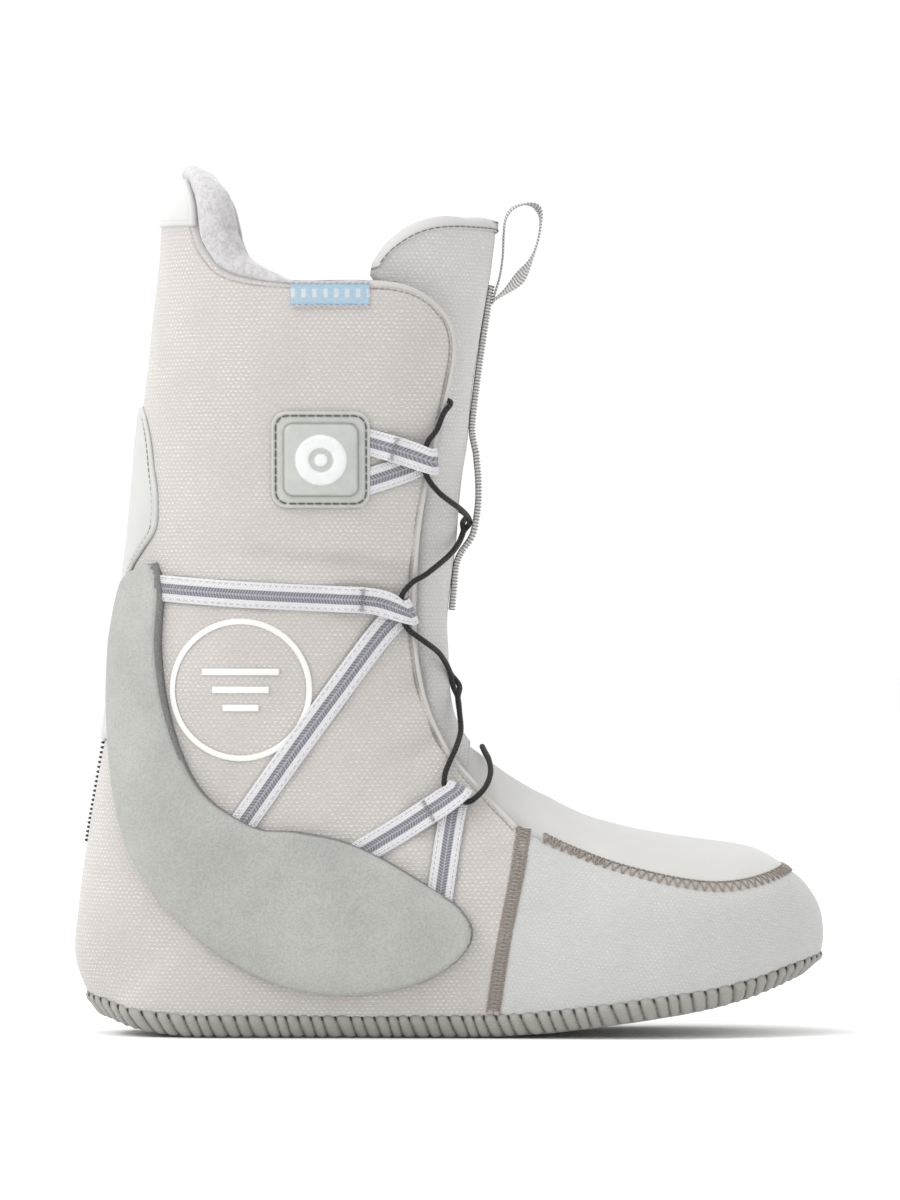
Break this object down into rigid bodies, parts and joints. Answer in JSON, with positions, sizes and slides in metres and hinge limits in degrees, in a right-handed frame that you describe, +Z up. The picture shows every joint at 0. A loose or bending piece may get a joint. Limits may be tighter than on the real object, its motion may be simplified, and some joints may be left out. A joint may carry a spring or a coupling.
{
  "type": "snowboard boot liner",
  "caption": "Removable padded inner boot for a right snowboard boot, with lacing tongue, foam ankle bars, fleece collar and a flat stitched sole.",
  "frame": {"origin": "centre of the bounding box, on the plane of the underside", "axes": "+X towards the toe, +Y towards the inner (medial) side, +Z up"},
  "size_m": [0.2951, 0.1157, 0.342],
  "materials": {
    "mesh_fabric": "warm light grey dash-weave mesh over foam",
    "stretch_fabric": "smooth fine-knit stretch fabric",
    "tongue_fabric": "fine mesh over padding",
    "smooth_overlay": "smooth pale green-grey film overlay",
    "ribbed_tape": "grey ribbed grosgrain tape",
    "white_tab": "smooth white film",
    "raised_print": "raised white print",
    "speckled_foam": "grey speckled moulded EVA foam",
    "patch_leather": "pale grey synthetic leather",
    "woven_label": "light blue satin weave",
    "seam_thread": "taupe zigzag thread",
    "piping": "double-line piping",
    "black_cord": "black braided cord",
    "fleece": "soft lilac-grey fleece",
    "sole_foam": "matt grey foam sheet",
    "board": "grey non-woven lasting board",
    "footbed_foam": "fabric-topped foam",
    "welt_fabric": "whip-stitched mesh",
    "webbing": "white webbing with a grey double stripe"
  },
  "bodies": {
    "root": {"quarter_lateral": "mesh_fabric", "quarter_medial": "mesh_fabric", "toe_panel": "mesh_fabric", "vamp_panel": "stretch_fabric", "heel_overlay": "smooth_overlay", "collar_tab": "white_tab", "printed_ring": "raised_print", "j_bar_lateral": "speckled_foam", "j_bar_medial": "speckled_foam", "patch_base": "patch_leather", "patch_cushion": "patch_leather", "woven_label": "woven_label", "side_seam_lateral": "seam_thread", "side_seam_medial": "seam_thread", "toe_seam": "seam_thread", "eyestay_piping_lateral": "piping", "eyestay_piping_medial": "piping", "heel_stitching": "black_cord", "collar_lining": "fleece", "inner_lining": "fleece", "sole_board": "sole_foam", "insole_board": "board", "sole_welt": "welt_fabric", "lace": "black_cord", "lace_loop_upper_lateral": "webbing", "lace_loop_upper_medial": "webbing", "lace_loop_middle_lateral": "webbing", "lace_loop_middle_medial": "webbing", "lace_loop_lower_lateral": "webbing", "lace_loop_lower_medial": "webbing"},
    "tongue": {"tongue": "tongue_fabric", "tongue_binding": "smooth_overlay", "tongue_tape": "ribbed_tape"},
    "pull_loop": {"pull_loop": "ribbed_tape"},
    "footbed": {"footbed": "footbed_foam"}
  },
  "joints": [
    {"name": "tongue_fold", "type": "hinge", "parent": "root", "child": "tongue", "pos_m": [0.008, 0, 0.116], "axis": [0, 1, 0], "range_deg": [0, 10], "stiffness_Nm_per_rad": 0.6, "deforming": ["lace"]},
    {"name": "pull_loop_swing", "type": "hinge", "parent": "tongue", "child": "pull_loop", "pos_m": [0.0195, 0, 0.2905], "axis": [0, 1, 0], "range_deg": [0, 50], "stiffness_Nm_per_rad": 0.01},
    {"name": "footbed_lift", "type": "hinge", "parent": "root", "child": "footbed", "pos_m": [0.1335, 0, 0.0262], "axis": [0, 1, 0], "range_deg": [0, 5]}
  ]
}
